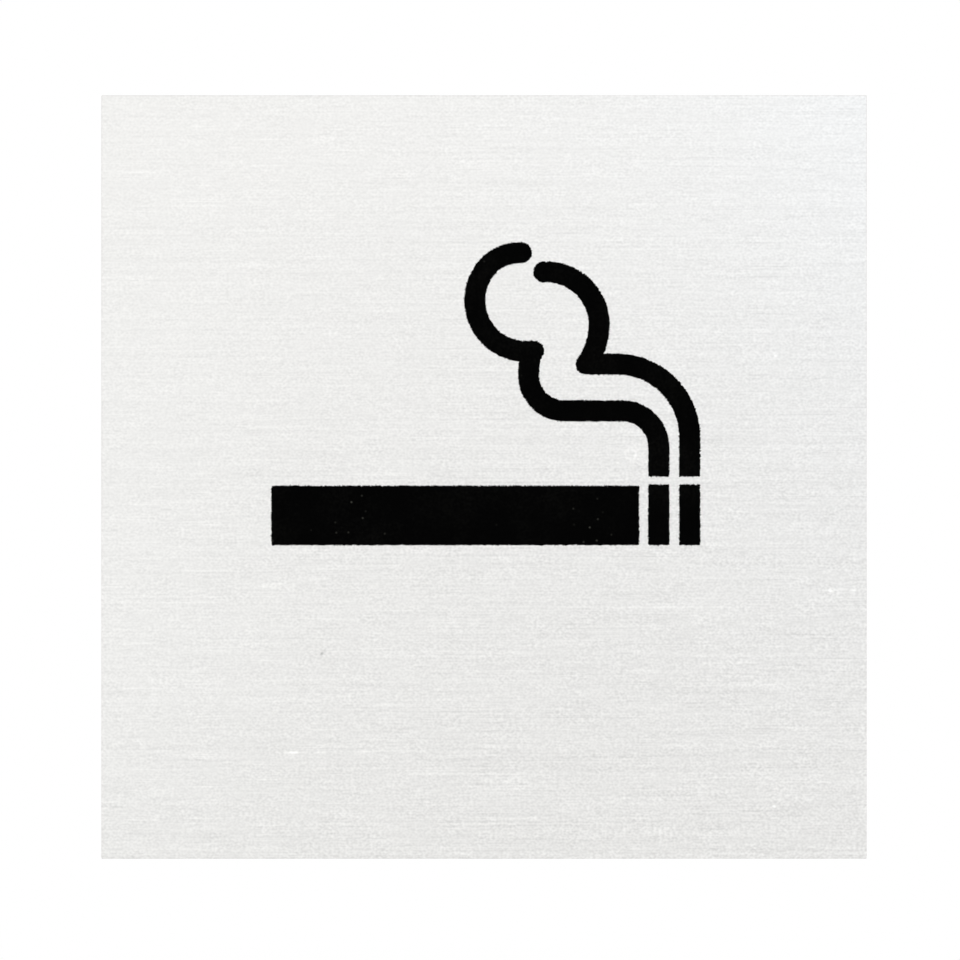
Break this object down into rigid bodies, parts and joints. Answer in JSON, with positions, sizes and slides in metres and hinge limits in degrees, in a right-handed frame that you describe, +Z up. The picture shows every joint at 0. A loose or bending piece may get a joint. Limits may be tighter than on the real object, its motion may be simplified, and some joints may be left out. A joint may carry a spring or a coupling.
{
  "type": "smoking permitted sign",
  "caption": "Square brushed aluminium plate with a black smoking pictogram and a foam adhesive back, to stick on a wall or a door.",
  "frame": {"origin": "middle of the adhesive's wall face, on the wall plane", "axes": "+Y out of the back into the wall, so the print faces -Y; +Z up the sign; +X to the reader's right"},
  "size_m": [0.08, 0.0018, 0.0798],
  "materials": {
    "plate": "fine horizontal brush grain under clear anodising",
    "ink": "screen-printed black ink, satin, with slightly ragged edges",
    "adhesive": "white foam with a tacky satin face"
  },
  "bodies": {
    "root": {"sign_plate": "plate", "print_cigarette": "ink", "print_ember_band_inner": "ink", "print_ember_band_outer": "ink", "print_smoke_line_inner": "ink", "print_smoke_line_outer": "ink", "adhesive_sheet": "adhesive"}
  },
  "joints": []
}
